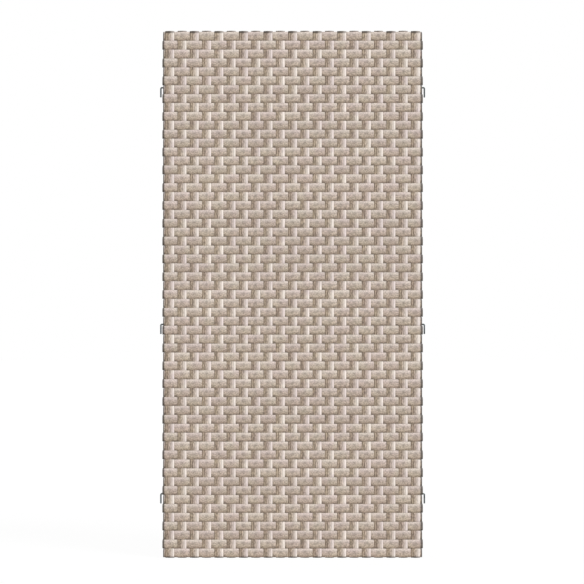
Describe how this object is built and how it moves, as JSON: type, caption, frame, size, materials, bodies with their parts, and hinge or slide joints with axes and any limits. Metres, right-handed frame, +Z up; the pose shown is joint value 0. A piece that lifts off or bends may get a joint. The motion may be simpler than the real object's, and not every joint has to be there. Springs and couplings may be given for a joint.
{
  "type": "woven fence panel",
  "caption": "Upright garden privacy panel of plain-woven flat plastic bands on a hidden tube frame, hung on its posts by downward rod hooks at both sides.",
  "frame": {"origin": "middle of the panel's bottom edge", "axes": "+Z up along the panel's height, +Y through the panel to its back, the front faces -Y, +X to the right as seen from the front"},
  "size_m": [0.895, 0.03, 1.78],
  "materials": {
    "woven_band": "matte, finely ribbed, mottled warm grey-beige",
    "frame_tube": "plain mill finish",
    "plated_steel": "dull grey zinc plating"
  },
  "bodies": {
    "root": {"weave": "woven_band", "left_stile": "frame_tube", "right_stile": "frame_tube", "top_rail": "frame_tube", "bottom_rail": "frame_tube", "left_inserts": "plated_steel", "right_inserts": "plated_steel", "left_hooks": "plated_steel", "right_hooks": "plated_steel"}
  },
  "joints": []
}
